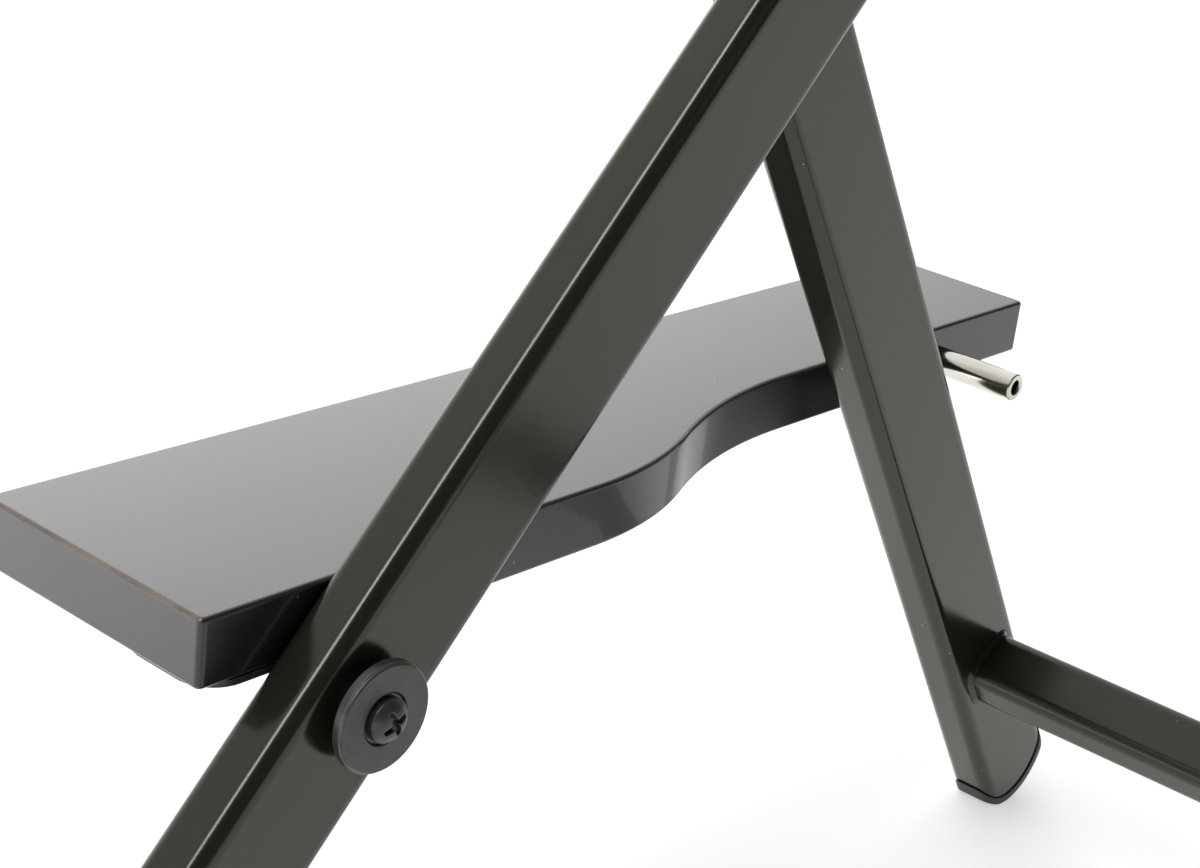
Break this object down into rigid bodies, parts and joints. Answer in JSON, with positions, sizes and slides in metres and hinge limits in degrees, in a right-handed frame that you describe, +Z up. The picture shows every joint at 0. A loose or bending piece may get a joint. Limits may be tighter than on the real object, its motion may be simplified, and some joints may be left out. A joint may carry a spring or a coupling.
{
  "type": "photo album stand",
  "caption": "Folding stand that leans a large album on a ledge and back slats, with a swinging rear leg frame and a lacquered side board with a hook pin on each side.",
  "frame": {"origin": "on the floor, midway between the front and rear feet and on the stand's middle plane", "axes": "+Z up, -Y towards the reader in front of the album, +X to the reader's right"},
  "size_m": [0.508, 0.4718, 0.4843],
  "materials": {
    "black_enamel": "satin black enamel",
    "black_lacquer": "high gloss black lacquer over board",
    "black_plastic": "black moulded plastic",
    "blackened_steel": "black coated steel",
    "plated_pin": "bright plated steel",
    "bush_steel": "turned steel",
    "slip_nylon": "natural nylon"
  },
  "bodies": {
    "front_frame": {"front_rail_left": "black_enamel", "front_rail_right": "black_enamel", "front_foot_bar": "black_enamel", "front_ledge_bar": "black_enamel", "front_top_bar": "black_enamel", "front_foot_cap_left": "black_plastic", "front_foot_cap_right": "black_plastic", "rail_top_cap_left": "black_plastic", "rail_top_cap_right": "black_plastic", "pivot_screw_left": "blackened_steel", "pivot_screw_right": "blackened_steel", "pivot_washer_left": "blackened_steel", "pivot_washer_right": "blackened_steel", "pivot_spacer_left": "black_plastic", "pivot_spacer_right": "black_plastic", "slip_washer_left": "slip_nylon", "slip_washer_right": "slip_nylon", "pivot_nut_left": "blackened_steel", "pivot_nut_right": "blackened_steel", "rail_bushes_left": "bush_steel", "rail_bushes_right": "bush_steel", "leg_screw_left": "blackened_steel", "leg_screw_right": "blackened_steel", "leg_slip_washer_left": "slip_nylon", "leg_slip_washer_right": "slip_nylon", "leg_nut_left": "blackened_steel", "leg_nut_right": "blackened_steel", "album_ledge": "black_lacquer", "ledge_lip": "black_lacquer", "back_slats": "black_lacquer", "ledge_brackets": "blackened_steel", "ledge_screws": "blackened_steel", "lip_screws": "blackened_steel", "slat_screws": "blackened_steel"},
    "rear_frame": {"rear_leg_left": "black_enamel", "rear_leg_right": "black_enamel", "rear_foot_bar": "black_enamel", "rear_foot_cap_left": "black_plastic", "rear_foot_cap_right": "black_plastic", "leg_top_cap_left": "black_plastic", "leg_top_cap_right": "black_plastic", "leg_bush_left": "bush_steel", "leg_bush_right": "bush_steel"},
    "board_left": {"side_board_left": "black_lacquer", "board_bracket_left": "blackened_steel", "bracket_screws_left": "blackened_steel", "hook_pin_left": "plated_pin"},
    "board_right": {"side_board_right": "black_lacquer", "board_bracket_right": "blackened_steel", "bracket_screws_right": "blackened_steel", "hook_pin_right": "plated_pin"}
  },
  "joints": [
    {"name": "rear_frame_fold", "type": "hinge", "parent": "front_frame", "child": "rear_frame", "pos_m": [0, 0.03289, 0.29151], "axis": [-1, 0, 0], "range_deg": [0, 28]},
    {"name": "board_left_swing", "type": "hinge", "parent": "front_frame", "child": "board_left", "pos_m": [-0.165, -0.09953, 0.147], "axis": [1, 0, 0], "range_deg": [0, 39.2]},
    {"name": "board_right_swing", "type": "hinge", "parent": "front_frame", "child": "board_right", "pos_m": [0.165, -0.09953, 0.147], "axis": [1, 0, 0], "range_deg": [0, 39.2]}
  ],
  "couplings": [
    {"joint": "board_left_swing", "follows": "rear_frame_fold", "ratio": 1.4},
    {"joint": "board_right_swing", "follows": "rear_frame_fold", "ratio": 1.4}
  ]
}
